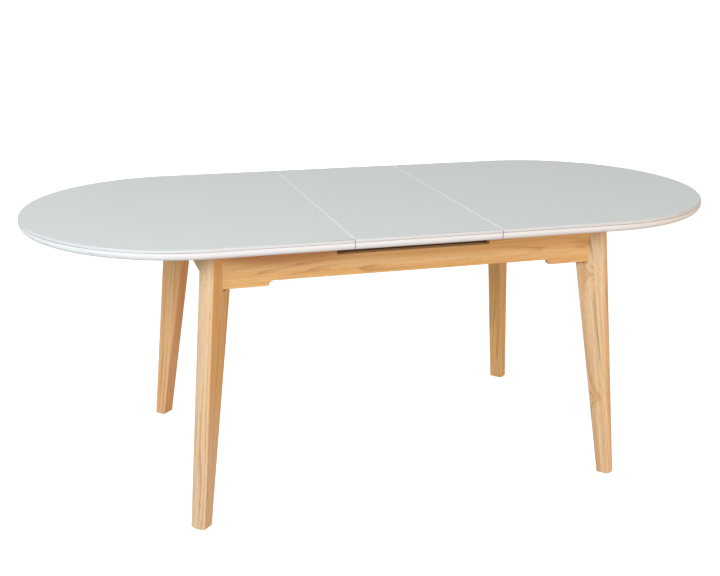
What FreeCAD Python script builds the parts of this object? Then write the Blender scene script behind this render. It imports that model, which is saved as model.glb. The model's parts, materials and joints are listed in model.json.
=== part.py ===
import FreeCAD, Part
import math
import os
import re
import Sketcher

# Oval dining table whose middle leaf folds away under the top.
# Millimetres; X along the length, front at -Y, +Z up, origin on the floor under the centre.

SIZES = {
    # Top and leaf
    "top_length": 2000,
    "top_width": 900,
    "table_height": 773,
    "top_thickness": 28,
    "leaf_width": 400,
    "seam_gap": 0.8,
    "seam_chamfer": 0.8,
    "fold_gap": 0.3,
    # Edge of the top, from the upper easing down to the underside
    "ease_inset": 4,
    "ease_drop": 7,
    "ease_radius": 11,
    "vein_depth": 2.2,
    "vein_height": 2,
    "under_round": 12.5,
    "under_radius": 14,
    # Aprons
    "slide_clearance": 0.5,
    "long_setback": 114,
    "end_setback": 453,
    "apron_thickness": 22,
    "apron_height": 111,
    "recess_margin": 14,
    "recess_depth": 39.5,
    "relief_end": 134,
    "relief_radius": 14,
    # Legs stand at 45 degrees in the corners of the aprons; depths run along the diagonal
    "leg_set_in": 58.4,
    "leg_width": 45,
    "leg_head_depth": 65,
    "leg_root_depth": 77,
    "leg_foot_depth": 32.5,
    "foot_splay": 110.5,
    "leg_crown": 8,
    "leg_arris": 4,
    "foot_chamfer": 1.5,
    # Housings routed in the sides of a leg for the tongues of the aprons
    "housing_width": 15,
    "housing_depth": 6,
    "housing_drop": 10,
    "tongue_gap": 0.5,
    "glide_radius": 11,
    "glide_height": 1.5,
    # Corner blocks and the bolts that draw the legs in
    "block_thickness": 30,
    "block_height": 54,
    "block_rise": 3,
    "bolt_radius": 4,
    "bolt_spacing": 28,
    "bolt_clearance": 0.15,
    "bolt_grip": 40,
    "bolt_tail": 12,
    "nut_radius": 7.5,
    "nut_height": 6.5,
    # Runners fixed to the frame and sliders fixed to the tops
    "runner_inset": 43,
    "runner_thickness": 18,
    "runner_height": 53,
    "track_depth": 6,
    "track_height": 12,
    "track_drop": 22,
    "run_clearance": 0.3,
    "slider_thickness": 12,
    "slider_height": 34,
    "slider_setback": 87,
    "slider_overlap": 20,
    "slider_relief": 0.8,
    # Cross rails and the swinging arms of the leaf
    "rail_gap": 8,
    "rail_thickness": 22,
    "rail_height": 46,
    "stow_room": 10,
    "lug_drop": 14,
    "lug_clearance": 2.7,
    "rear_lug_inset": 85,
    "lug_thickness": 5,
    "lug_width": 24,
    "lug_flange": 30,
    "flange_thickness": 3,
    "arm_inset": 10,
    "arm_thickness": 5,
    "arm_width": 20,
    "arm_gap": 1,
    "pin_radius": 4,
    "pin_head_radius": 7,
    "pin_head": 2,
    "shaft_radius": 7,
    "journal_radius": 5,
    "journal_clearance": 0.05,
    "open_clearance": 0.3,
    "plate_thickness": 5,
    "plate_height": 26,
    "journal_play": 1,
    "spacer_wall": 3,
    # Concealed hinges of the folding leaf
    "hinge_spacing": 130,
    "hinge_width": 14,
    "hinge_depth": 20,
    "hinge_height": 20,
    "hinge_cover": 3,
    "tongue_thickness": 4,
    "tongue_radius": 18,
    "tongue_cover": 5,
    "axis_lift": 0.3,
}

FUNCTIONS = {"sqrt", "acos"}
NODES = []

# Heights and places that several pieces share
UNDERSIDE = "(table_height - top_thickness)"
FRAME_TOP = "(table_height - top_thickness - slide_clearance)"
APRON_FOOT = f"({FRAME_TOP} - apron_height)"
LONG_FACE = "(top_width / 2 - long_setback)"
END_FACE = "(top_length / 2 - end_setback)"
APRON_INNER = f"({LONG_FACE} - apron_thickness)"
END_INNER = f"({END_FACE} - apron_thickness)"
STRAIGHT = "(top_length / 2 - top_width / 2)"
SEAM = "(leaf_width / 2 + seam_gap / 2)"
LEAF_HALF = "(leaf_width / 2 - seam_gap / 2)"
RUNNER_FOOT = f"({FRAME_TOP} - runner_height)"
TRACK_MIDDLE = f"({FRAME_TOP} - track_drop)"
RUNNER_PLACE = f"({APRON_INNER} - runner_inset)"
SLIDER_END = f"({END_FACE} - slider_setback)"
RAIL_FACE = "(leaf_width / 2 + rail_gap)"
LEAF_SHIFT = "(top_width / 4)"
LEAF_DROP = "(2 * top_thickness + stow_room)"
ARM_REACH = f"(({LEAF_SHIFT} ^ 2 + {LEAF_DROP} ^ 2) / (2 * {LEAF_SHIFT}))"
PIVOT_HEIGHT = f"({UNDERSIDE} - lug_drop - {LEAF_DROP})"
SLIDER_FACE = f"({RUNNER_PLACE} - runner_thickness / 2 - run_clearance - slider_thickness)"
LUG_PLACE = f"({SLIDER_FACE} - lug_clearance - lug_width / 2)"
LUG_SPACING = f"({LUG_PLACE} - rear_lug_inset)"
FRONT_PIVOT = f"({LEAF_SHIFT} - {ARM_REACH} - {LUG_PLACE})"
REAR_PIVOT = f"({FRONT_PIVOT} + {LUG_SPACING})"
ARM_PLACE = "(leaf_width / 2 - arm_inset)"
LUG_OUTER = f"({ARM_PLACE} - arm_gap)"
BLOCK_FOOT = f"({APRON_FOOT} + block_rise)"
FOLD_AXIS = "(table_height + axis_lift)"
# Each corner has a diagonal at 45 degrees: reaches run out along it from the centre of the
# table, and its offset is how far it passes that centre by. Each leg is centred on the corner where
# the faces of two aprons would meet, and its side faces are the planes |x| - |y| = constant.
LEG_OFFSET = f"(({END_FACE} - {LONG_FACE}) / sqrt(2))"
CORNER_REACH = f"(({END_FACE} + {LONG_FACE}) / sqrt(2))"
LEG_INNER = f"({CORNER_REACH} - leg_set_in)"
FOOT_INNER = f"({LEG_INNER} + foot_splay)"
LEG_SIDE_NEAR = f"(({LEG_OFFSET} - leg_width / 2) * sqrt(2))"
LEG_SIDE_FAR = f"(({LEG_OFFSET} + leg_width / 2) * sqrt(2))"
APRON_END = f"({LONG_FACE} + {LEG_SIDE_NEAR})"
FACE_REACH = f"({CORNER_REACH} - leg_width / 2)"
TONGUE_WIDTH = "(housing_width / sqrt(2))"
TONGUE_LENGTH = "((housing_depth - tongue_gap) / sqrt(2))"
RELIEF_HALF = f"({APRON_END} - relief_end)"
RECESS_HALF = "(leaf_width / 2 + recess_margin)"
CROWN_RADIUS = "((leg_width ^ 2 / 4 + leg_crown ^ 2) / (2 * leg_crown))"
# How far beyond the crown's centre a leg's side face turns into its soft arris
ARRIS_REACH = f"sqrt(({CROWN_RADIUS} - leg_arris) ^ 2 - (leg_width / 2 - leg_arris) ^ 2)"
CORNERS = {
    "front_left": (-1, -1),
    "front_right": (1, -1),
    "rear_left": (-1, 1),
    "rear_right": (1, 1),
}
SIDES = {"left": -1, "right": 1}
FACES = {"front": -1, "rear": 1}

doc = FreeCAD.newDocument("FoldingLeafTable")
sheet = doc.addObject("Spreadsheet::Sheet", "Sizes")
for row, (alias, size) in enumerate(SIZES.items(), start=1):
    sheet.set(f"A{row}", alias)
    sheet.set(f"B{row}", str(size))
    sheet.setAlias(f"B{row}", alias)
doc.recompute()


def formula(text):
    """Point the plain words of a formula at the sheet."""
    return re.sub(r"[a-z]\w*", lambda word: word[0] if word[0] in FUNCTIONS else "Sizes." + word[0], text)


def value(text):
    """The present value of a formula."""
    return float(sheet.evalExpression(formula(text)))


def bind(item, prop, text):
    item.setExpression(prop, formula(text))


def place(item, x="0", y="0", z="0", axis=(0, 0, 1), turn=0):
    """Set a piece's place, with its coordinates bound to the sheet."""
    item.Placement = FreeCAD.Placement(FreeCAD.Vector(), FreeCAD.Rotation(FreeCAD.Vector(*axis), turn))
    for letter, text in zip("xyz", (x, y, z)):
        bind(item, f"Placement.Base.{letter}", text)


def node(item, label):
    """Name a finished piece, which is written to a file of that name."""
    item.Label = label
    NODES.append(item)
    return item


def body(label):
    return node(doc.addObject("PartDesign::Body", label), label)


def sketch_on(owner, role, name, offset="0"):
    """A sketch on one of its body's origin planes, moved along the plane's normal."""
    sketch = owner.newObject("Sketcher::SketchObject", name)
    base = next(item for item in owner.Origin.OriginFeatures if item.Role == role)
    sketch.AttachmentSupport = [(base, "")]
    sketch.MapMode = "FlatFace"
    bind(sketch, "AttachmentOffset.Base.z", offset)
    return sketch


def fix_point(sketch, edge, end, x, y):
    """Tie a point of the sketch to the sheet by its two coordinates."""
    for kind, text in (("DistanceX", x), ("DistanceY", y)):
        number = sketch.addConstraint(Sketcher.Constraint(kind, edge, end, value(text)))
        bind(sketch, f"Constraints[{number}]", text)


def fix_radius(sketch, edge, radius):
    number = sketch.addConstraint(Sketcher.Constraint("Radius", edge, value(radius)))
    bind(sketch, f"Constraints[{number}]", radius)


def arc_between(start, finish, radius):
    """The short arc that turns left from start to finish."""
    chord = finish - start
    middle = (start + finish) * 0.5
    left = FreeCAD.Vector(-chord.y, chord.x, 0).normalize()
    centre = middle + left * math.sqrt(max(radius ** 2 - chord.Length ** 2 / 4, 0))
    angles = [math.atan2(point.y - centre.y, point.x - centre.x) for point in (start, finish)]
    circle = Part.Circle(centre, FreeCAD.Vector(0, 0, 1), radius)
    return Part.ArcOfCircle(circle, angles[0], angles[1])


def outline(sketch, corners):
    """Close an outline through corners given as (x, y), or (x, y, bend, radius).

    A bend of "round" turns the edge after its corner to the left, "hollow" to the right.
    """
    places = [FreeCAD.Vector(value(corner[0]), value(corner[1]), 0) for corner in corners]
    edges = []
    for index, corner in enumerate(corners):
        start = places[index]
        finish = places[(index + 1) % len(corners)]
        if len(corner) == 2:
            edges.append((sketch.addGeometry(Part.LineSegment(start, finish)), 1, 2))
            continue
        bend, radius = corner[2:]
        if bend == "round":
            edges.append((sketch.addGeometry(arc_between(start, finish, value(radius))), 1, 2))
        else:
            edges.append((sketch.addGeometry(arc_between(finish, start, value(radius))), 2, 1))
        fix_radius(sketch, edges[-1][0], radius)
    for index, (edge, first, last) in enumerate(edges):
        following = edges[(index + 1) % len(edges)]
        sketch.addConstraint(Sketcher.Constraint("Coincident", edge, last, following[0], following[1]))
        fix_point(sketch, edge, first, corners[index][0], corners[index][1])


def rectangle(sketch, low_x, low_y, high_x, high_y):
    outline(sketch, [(low_x, low_y), (high_x, low_y), (high_x, high_y), (low_x, high_y)])


def hole(sketch, x, y, radius):
    circle = Part.Circle(FreeCAD.Vector(value(x), value(y), 0), FreeCAD.Vector(0, 0, 1), value(radius))
    edge = sketch.addGeometry(circle)
    fix_point(sketch, edge, 3, x, y)
    fix_radius(sketch, edge, radius)


def pad(owner, sketch, name, length):
    feature = owner.newObject("PartDesign::Pad", name)
    feature.Profile = sketch
    bind(feature, "Length", length)
    return feature


def pocket(owner, sketch, name, depth, along_normal=False):
    feature = owner.newObject("PartDesign::Pocket", name)
    feature.Profile = sketch
    feature.Reversed = along_normal
    bind(feature, "Length", depth)
    return feature


def revolve(owner, sketch, name, axis, angle):
    feature = owner.newObject("PartDesign::Revolution", name)
    feature.Profile = sketch
    feature.ReferenceAxis = (sketch, [axis])
    feature.Angle = angle
    return feature


def chamfer_edges(owner, name, size, chosen):
    """Chamfer the edges of the body's last feature that the test picks."""
    doc.recompute()
    base = owner.Tip
    names = [f"Edge{number}" for number, edge in enumerate(base.Shape.Edges, start=1) if chosen(edge)]
    feature = owner.newObject("PartDesign::Chamfer", name)
    feature.Base = (base, names)
    bind(feature, "Size", size)


def box(name, low, high):
    """A block between two corners, each given as three formulas."""
    item = doc.addObject("Part::Box", name)
    for prop, start, finish in zip(("Length", "Width", "Height"), low, high):
        bind(item, prop, f"{finish} - ({start})")
    place(item, *low)
    return item


def cylinder(name, radius, height):
    item = doc.addObject("Part::Cylinder", name)
    bind(item, "Radius", radius)
    bind(item, "Height", height)
    return item


def joined(kind, name, items):
    """A boolean of several items: MultiFuse, MultiCommon or Compound."""
    item = doc.addObject(f"Part::{kind}", name)
    if kind == "Compound":
        item.Links = items
    else:
        item.Shapes = items
    return item


def cut(name, base, tool):
    item = doc.addObject("Part::Cut", name)
    item.Base = base
    item.Tool = tool
    return item


def edge_profile(side):
    """Corners of one moulded long edge, from the underside up to the top face."""
    half = "top_width / 2"
    ease = f"{side} * ({half} - ease_inset)"
    rim = f"{side} * ({half})"
    shoulder = "(table_height - ease_drop)"
    return [
        (f"{side} * ({half} - under_round)", UNDERSIDE, "round", "under_radius"),
        (rim, f"{UNDERSIDE} + under_round"),
        (rim, f"{shoulder} - vein_height"),
        (f"{side} * ({half} - vein_depth)", f"{shoulder} - vein_height / 2"),
        (rim, shoulder, "round", "ease_radius"),
        (ease, "table_height"),
    ]


def mirrored_profile():
    """The edge at -Y, running from the top face down to the underside."""
    rising = edge_profile("-1")
    falling = []
    for index in range(len(rising) - 1, -1, -1):
        bend = rising[index - 1][2:] if index else ()
        falling.append(rising[index][:2] + bend)
    return falling


def top_panel(label, side):
    """Half of the top: a straight stretch from the seam and a half-round end."""
    panel = body(label)
    start = SEAM if side > 0 else f"-1 * {STRAIGHT}"
    section = sketch_on(panel, "YZ_Plane", f"{label}_section", start)
    outline(section, edge_profile("1") + mirrored_profile())
    pad(panel, section, f"{label}_straight", f"{STRAIGHT} - {SEAM}")
    middle = STRAIGHT if side > 0 else f"-1 * {STRAIGHT}"
    half = sketch_on(panel, "YZ_Plane", f"{label}_half_section", middle)
    outline(half, [("0", UNDERSIDE)] + edge_profile("1") + [("0", "table_height")])
    end = revolve(panel, half, f"{label}_end", "V_Axis", 180)
    end.Reversed = side > 0
    seam = side * value(SEAM)
    crest = value("table_height")
    chamfer_edges(panel, f"{label}_arris", "seam_chamfer", lambda edge: all(
        abs(vertex.X - seam) < 0.01 and abs(vertex.Z - crest) < 0.01 for vertex in edge.Vertexes))


def leaf_panel(label, side):
    """Half of the leaf, from its moulded edge to the fold."""
    panel = body(label)
    section = sketch_on(panel, "YZ_Plane", f"{label}_section", f"-1 * {LEAF_HALF}")
    fold = f"{side} * fold_gap / 2"
    ends = [(fold, "table_height"), (fold, UNDERSIDE)]
    if side > 0:
        outline(section, edge_profile("1") + ends)
    else:
        outline(section, mirrored_profile() + ends[::-1])
    pad(panel, section, f"{label}_board", f"2 * {LEAF_HALF}")
    cups = sketch_on(panel, "XZ_Plane", f"{label}_cups")
    for step in (-1, 0, 1):
        low_x = f"{step} * hinge_spacing - hinge_width / 2"
        high_x = f"{step} * hinge_spacing + hinge_width / 2"
        crest = "table_height - hinge_cover"
        rectangle(cups, low_x, f"{crest} - hinge_height", high_x, crest)
    pocket(panel, cups, f"{label}_cup_holes", "hinge_depth + fold_gap / 2", along_normal=side < 0)
    seam = value(LEAF_HALF)
    crest_height = value("table_height")
    chamfer_edges(panel, f"{label}_arris", "seam_chamfer", lambda edge: all(
        abs(abs(vertex.X) - seam) < 0.01 and abs(vertex.Z - crest_height) < 0.01 for vertex in edge.Vertexes)
        and abs(edge.Vertexes[0].X - edge.Vertexes[-1].X) < 0.01)


def long_apron(label, turn):
    """A long apron: recess for the leaf above, hollow-cornered relief below, mitred and tongued ends."""
    apron = body(label)
    face = sketch_on(apron, "XZ_Plane", f"{label}_face", APRON_INNER)
    low_relief = f"{APRON_FOOT} + relief_radius"
    floor = f"{FRAME_TOP} - recess_depth"
    outline(face, [
        (f"-1 * {APRON_END}", APRON_FOOT),
        (f"-1 * ({RELIEF_HALF} + relief_radius)", APRON_FOOT, "hollow", "relief_radius"),
        (f"-1 * {RELIEF_HALF}", low_relief),
        (RELIEF_HALF, low_relief, "hollow", "relief_radius"),
        (f"{RELIEF_HALF} + relief_radius", APRON_FOOT),
        (APRON_END, APRON_FOOT),
        (APRON_END, FRAME_TOP),
        (RECESS_HALF, FRAME_TOP),
        (RECESS_HALF, floor),
        (f"-1 * {RECESS_HALF}", floor),
        (f"-1 * {RECESS_HALF}", FRAME_TOP),
        (f"-1 * {APRON_END}", FRAME_TOP),
    ])
    pad(apron, face, f"{label}_board", "apron_thickness")
    mitre = sketch_on(apron, "XY_Plane", f"{label}_mitre", APRON_FOOT)
    near = f"({APRON_INNER} + {LEG_SIDE_NEAR})"
    for side in ("1", "-1"):
        outline(mitre, [
            (f"{side} * {near}", f"-1 * {APRON_INNER}"),
            (f"{side} * {APRON_END}", f"-1 * {LONG_FACE}"),
            (f"{side} * {APRON_END}", f"-1 * {APRON_INNER}"),
        ])
    pocket(apron, mitre, f"{label}_mitres", "apron_height", along_normal=True)
    tongues = sketch_on(apron, "XY_Plane", f"{label}_tongue_plan", APRON_FOOT)
    for side in ("1", "-1"):
        outline(tongues, [
            (f"{side} * {APRON_END}", f"-1 * {LONG_FACE}"),
            (f"{side} * ({APRON_END} + {TONGUE_LENGTH})", f"{TONGUE_LENGTH} - {LONG_FACE}"),
            (f"{side} * ({APRON_END} + {TONGUE_LENGTH} - {TONGUE_WIDTH})",
             f"{TONGUE_LENGTH} + {TONGUE_WIDTH} - {LONG_FACE}"),
            (f"{side} * ({APRON_END} - {TONGUE_WIDTH})", f"{TONGUE_WIDTH} - {LONG_FACE}"),
        ])
    pad(apron, tongues, f"{label}_tongues", "apron_height")
    place(apron, turn=turn)


def end_apron(label, turn):
    """A short apron under the round end, mitred to the legs and tongued into them."""
    apron = body(label)
    plan = sketch_on(apron, "XY_Plane", f"{label}_plan", APRON_FOOT)
    outer = f"({END_FACE} - {LEG_SIDE_FAR})"
    inner = f"({END_INNER} - {LEG_SIDE_FAR})"
    half = [
        (END_FACE, outer),
        (f"{END_FACE} - {TONGUE_LENGTH}", f"{outer} + {TONGUE_LENGTH}"),
        (f"{END_FACE} - {TONGUE_LENGTH} - {TONGUE_WIDTH}", f"{outer} + {TONGUE_LENGTH} - {TONGUE_WIDTH}"),
        (f"{END_FACE} - {TONGUE_WIDTH}", f"{outer} - {TONGUE_WIDTH}"),
        (END_INNER, inner),
    ]
    outline(plan, half + [(x, f"-1 * ({y})") for x, y in reversed(half)])
    pad(apron, plan, f"{label}_board", "apron_height")
    place(apron, turn=turn)


def stand_on_diagonal(item, corner, reach="0", height="0"):
    """Turn a piece so that its own X runs out along a corner's diagonal."""
    side_x, side_y = CORNERS[corner]
    along = f"({reach}) / sqrt(2)"
    across = f"{LEG_OFFSET} / sqrt(2)"
    x = f"{side_x} * ({along} + {across})"
    y = f"{side_y} * ({along} - {across})"
    place(item, x, y, height, turn=math.degrees(math.atan2(side_y, side_x)))


def lay_on_diagonal(item, corner, reach, height):
    """Lay a round piece along a corner's diagonal, pointing outwards."""
    stand_on_diagonal(item, corner, reach, height)
    outwards = FreeCAD.Rotation(FreeCAD.Vector(0, 0, 1), FreeCAD.Vector(*CORNERS[corner], 0))
    item.Placement = FreeCAD.Placement(item.Placement.Base, outwards)


def bolt_heights():
    """Heights of the two bolts that draw one leg in."""
    middle = f"{BLOCK_FOOT} + block_height / 2"
    return f"{middle} - bolt_spacing / 2", f"{middle} + bolt_spacing / 2"


def drill_for_bolts(owner, label, start, depth):
    """Bore the two bolt holes outwards along the diagonal."""
    bores = sketch_on(owner, "YZ_Plane", f"{label}_bores", start)
    for height in bolt_heights():
        hole(bores, "0", height, "bolt_radius + bolt_clearance")
    pocket(owner, bores, f"{label}_bolt_holes", depth, along_normal=True)


def housing(post, name, side):
    """A housing in one side face of a leg, round at its lower end and open at the top."""
    face = sketch_on(post, "XZ_Plane", name, f"{side} * leg_width / 2")
    radius = "housing_width / 2"
    turn = f"{APRON_FOOT} - housing_drop + {radius}"
    bend = ("round", radius)
    outline(face, [
        (f"{FACE_REACH} - housing_width", turn) + bend,
        (f"{FACE_REACH} - {radius}", f"{turn} - {radius}") + bend,
        (FACE_REACH, turn),
        (FACE_REACH, FRAME_TOP),
        (f"{FACE_REACH} - housing_width", FRAME_TOP),
    ])
    pocket(post, face, f"{name}_cut", "housing_depth", along_normal=side < 0)


def leg(corner):
    """A leg set at 45 degrees: crowned outer face, tapered to the foot below the aprons."""
    label = f"leg_{corner}"
    post = body(label)
    levels = (
        ("sole", "glide_height", FOOT_INNER, "leg_foot_depth", "foot_chamfer"),
        ("foot", "glide_height + foot_chamfer", FOOT_INNER, "leg_foot_depth", "0"),
        ("root", APRON_FOOT, LEG_INNER, "leg_root_depth", "0"),
        ("head", FRAME_TOP, LEG_INNER, "leg_head_depth", "0"),
    )
    flat = "(leg_width / 2 - leg_arris)"
    sections = []
    for name, height, inner, depth, inset in levels:
        side = f"(leg_width / 2 - {inset})"
        round_off = ("round", f"leg_arris - {inset}")
        crown = f"({inner} + {depth} + leg_crown - {CROWN_RADIUS})"
        turn = f"{crown} + {ARRIS_REACH}"
        scale = f"({CROWN_RADIUS} - {inset}) / ({CROWN_RADIUS} - leg_arris)"
        meet = f"{crown} + {ARRIS_REACH} * {scale}"
        section = sketch_on(post, "XY_Plane", f"{label}_{name}", height)
        outline(section, [
            (f"{inner} + leg_arris", f"-1 * {side}"),
            (turn, f"-1 * {side}") + round_off,
            (meet, f"-1 * {flat} * {scale}", "round", f"{CROWN_RADIUS} - {inset}"),
            (meet, f"{flat} * {scale}") + round_off,
            (turn, side),
            (f"{inner} + leg_arris", side) + round_off,
            (f"{inner} + {inset}", flat),
            (f"{inner} + {inset}", f"-1 * {flat}") + round_off,
        ])
        sections.append(section)
    taper = post.newObject("PartDesign::AdditiveLoft", f"{label}_taper")
    taper.Profile = sections[0]
    taper.Sections = sections[1:]
    taper.Ruled = True
    for side_name, side in SIDES.items():
        housing(post, f"{label}_{side_name}_housing", side)
    drill_for_bolts(post, label, LEG_INNER, "bolt_grip")
    stand_on_diagonal(post, corner)


def corner_block(corner):
    """A block across the corner, against both aprons and the leg's inner face."""
    label = f"corner_block_{corner}"
    block = body(label)
    side_x, side_y = CORNERS[corner]
    hand = -side_x * side_y
    front = LEG_INNER
    back = f"({LEG_INNER} - block_thickness)"
    plan = sketch_on(block, "XY_Plane", f"{label}_plan", BLOCK_FOOT)
    outline(plan, [
        (back, f"{hand} * ({back} - {APRON_INNER} * sqrt(2) - {LEG_OFFSET})"),
        (front, f"{hand} * ({front} - {APRON_INNER} * sqrt(2) - {LEG_OFFSET})"),
        (front, f"{hand} * ({END_INNER} * sqrt(2) - {front} - {LEG_OFFSET})"),
        (back, f"{hand} * ({END_INNER} * sqrt(2) - {back} - {LEG_OFFSET})"),
    ])
    pad(block, plan, f"{label}_board", "block_height")
    drill_for_bolts(block, label, back, "block_thickness")
    stand_on_diagonal(block, corner)


def hanger_bolts():
    """Two bolts at each corner, with their nuts against the corner block."""
    bolts = []
    nuts = []
    back = f"{LEG_INNER} - block_thickness"
    for corner in CORNERS:
        for number, height in enumerate(bolt_heights(), start=1):
            length = "bolt_grip + block_thickness + bolt_tail"
            bolt = cylinder(f"bolt_{corner}_{number}", "bolt_radius", length)
            lay_on_diagonal(bolt, corner, f"{back} - bolt_tail", height)
            bolts.append(bolt)
            blank = doc.addObject("Part::Prism", f"nut_blank_{corner}_{number}")
            blank.Polygon = 6
            bind(blank, "Circumradius", "nut_radius")
            bind(blank, "Height", "nut_height")
            bore = cylinder(f"nut_bore_{corner}_{number}", "bolt_radius + bolt_clearance", "nut_height")
            for item in (blank, bore):
                lay_on_diagonal(item, corner, f"{back} - nut_height", height)
            nuts.append(cut(f"nut_{corner}_{number}", blank, bore))
    node(joined("Compound", "bolt_group", bolts), "hanger_bolts")
    node(joined("Compound", "nut_group", nuts), "bolt_nuts")


def foot_glides():
    """A disc under the middle of each foot."""
    glides = []
    for corner in CORNERS:
        disc = cylinder(f"glide_{corner}", "glide_radius", "glide_height")
        stand_on_diagonal(disc, corner, f"{FOOT_INNER} + (leg_foot_depth + leg_crown) / 2")
        glides.append(disc)
    node(joined("Compound", "glide_group", glides), "foot_glides")


def runner(label, turn):
    """A rail with a track along both sides, between the end aprons."""
    rail = body(label)
    section = sketch_on(rail, "YZ_Plane", f"{label}_section", f"-1 * {END_INNER}")
    outer = f"(-1 * {RUNNER_PLACE} - runner_thickness / 2)"
    inner = f"(-1 * {RUNNER_PLACE} + runner_thickness / 2)"
    low = f"{TRACK_MIDDLE} - track_height / 2"
    high = f"{TRACK_MIDDLE} + track_height / 2"
    outline(section, [
        (outer, RUNNER_FOOT),
        (inner, RUNNER_FOOT),
        (inner, low),
        (f"{inner} - track_depth", low),
        (f"{inner} - track_depth", high),
        (inner, high),
        (inner, FRAME_TOP),
        (outer, FRAME_TOP),
        (outer, high),
        (f"{outer} + track_depth", high),
        (f"{outer} + track_depth", low),
        (outer, low),
    ])
    pad(rail, section, f"{label}_bar", f"2 * {END_INNER}")
    place(rail, turn=turn)


def slider(side_name, face_name):
    """A bar under a top half whose tongue runs in the runner's track.

    The left half runs on the outer tracks and the right half on the inner ones.
    """
    label = f"{side_name}_slider_{face_name}"
    side = SIDES[side_name]
    face = FACES[face_name]
    out = -side
    bar = body(label)
    near = f"({RUNNER_PLACE} + {out} * (runner_thickness / 2 + run_clearance))"
    back = f"{face} * ({near} + {out} * slider_thickness)"
    tip = f"{face} * ({near} - {out} * track_depth)"
    near = f"{face} * {near}"
    foot = f"{UNDERSIDE} - slider_height"
    crest = f"{UNDERSIDE} - slider_relief"
    low = f"{TRACK_MIDDLE} - track_height / 2 + run_clearance"
    high = f"{TRACK_MIDDLE} + track_height / 2 - run_clearance"
    start = f"-1 * {SLIDER_END}" if side < 0 else "-1 * slider_overlap"
    section = sketch_on(bar, "YZ_Plane", f"{label}_section", start)
    outline(section, [
        (back, foot),
        (near, foot),
        (near, low),
        (tip, low),
        (tip, high),
        (near, high),
        (near, crest),
        (back, crest),
    ])
    pad(bar, section, f"{label}_bar", f"{SLIDER_END} + slider_overlap")
    seat = sketch_on(bar, "YZ_Plane", f"{label}_seat_section", f"-1 * {SLIDER_END}" if side < 0 else SEAM)
    rectangle(seat, near, crest, back, UNDERSIDE)
    pad(bar, seat, f"{label}_seat", f"{SLIDER_END} - {SEAM}")


def span(side, near, far):
    """Low and high formulas of a stretch between two distances on one side of the centre."""
    if side > 0:
        return near, far
    return f"-1 * ({far})", f"-1 * ({near})"


def cross_rail(side_name):
    """A rail across the frame beside the stowed leaf, under both runners."""
    low_x, high_x = span(SIDES[side_name], RAIL_FACE, f"{RAIL_FACE} + rail_thickness")
    low = (low_x, f"-1 * {APRON_INNER}", f"{RUNNER_FOOT} - rail_height")
    high = (high_x, APRON_INNER, RUNNER_FOOT)
    node(box(f"rail_{side_name}", low, high), f"cross_rail_{side_name}")


def stadium(sketch, first, last, height, radius):
    """A bar with round ends, its two centres at one height."""
    bend = ("round", radius)
    outline(sketch, [
        (first, f"{height} - {radius}"),
        (last, f"{height} - {radius}") + bend,
        (f"{last} + {radius}", height) + bend,
        (last, f"{height} + {radius}"),
        (first, f"{height} + {radius}") + bend,
        (f"{first} - {radius}", height) + bend,
    ])


def pivot_plate(side_name):
    """The plate on a cross rail that carries both shafts of the arms."""
    label = f"pivot_plate_{side_name}"
    plate = body(label)
    low_x, high_x = span(SIDES[side_name], f"{RAIL_FACE} - plate_thickness", RAIL_FACE)
    face = sketch_on(plate, "YZ_Plane", f"{label}_face", low_x)
    stadium(face, FRONT_PIVOT, REAR_PIVOT, PIVOT_HEIGHT, "plate_height / 2")
    for pivot in (FRONT_PIVOT, REAR_PIVOT):
        hole(face, pivot, PIVOT_HEIGHT, "journal_radius + journal_clearance")
    pad(plate, face, f"{label}_sheet", "plate_thickness")


def swing_shaft(face_name, pivot):
    """A shaft across the table that ties a pair of arms together."""
    label = f"{face_name}_swing_shaft"
    shaft = body(label)
    half = sketch_on(shaft, "XY_Plane", f"{label}_half")
    tip = f"({RAIL_FACE} - journal_play)"
    outline(half, [
        (f"-1 * {tip}", "0"),
        (tip, "0"),
        (tip, "journal_radius"),
        (ARM_PLACE, "journal_radius"),
        (ARM_PLACE, "shaft_radius"),
        (f"-1 * {ARM_PLACE}", "shaft_radius"),
        (f"-1 * {ARM_PLACE}", "journal_radius"),
        (f"-1 * {tip}", "journal_radius"),
    ])
    revolve(shaft, half, f"{label}_turned", "H_Axis", 360)
    place(shaft, y=pivot, z=PIVOT_HEIGHT)


def swing_arm(face_name, side_name, pivot, clearance):
    """An arm from a shaft up to a lug of the leaf."""
    label = f"{face_name}_arm_{side_name}"
    arm = body(label)
    low_x, high_x = span(SIDES[side_name], ARM_PLACE, f"{ARM_PLACE} + arm_thickness")
    face = sketch_on(arm, "YZ_Plane", f"{label}_face", low_x)
    stadium(face, "0", ARM_REACH, "0", "arm_width / 2")
    hole(face, "0", "0", "journal_radius + journal_clearance")
    hole(face, ARM_REACH, "0", f"pin_radius + {clearance}")
    pad(arm, face, f"{label}_bar", "arm_thickness")
    lift = f"acos(({ARM_REACH} - {LEAF_SHIFT}) / {ARM_REACH})"
    place(arm, y=pivot, z=PIVOT_HEIGHT, axis=(1, 0, 0), turn=value(lift))
    bind(arm, "Placement.Rotation.Angle", lift)


def along_x(item, x, y, z):
    """Lay a round piece along X from a starting point."""
    place(item, x, y, z, axis=(0, 1, 0), turn=90)


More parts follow.
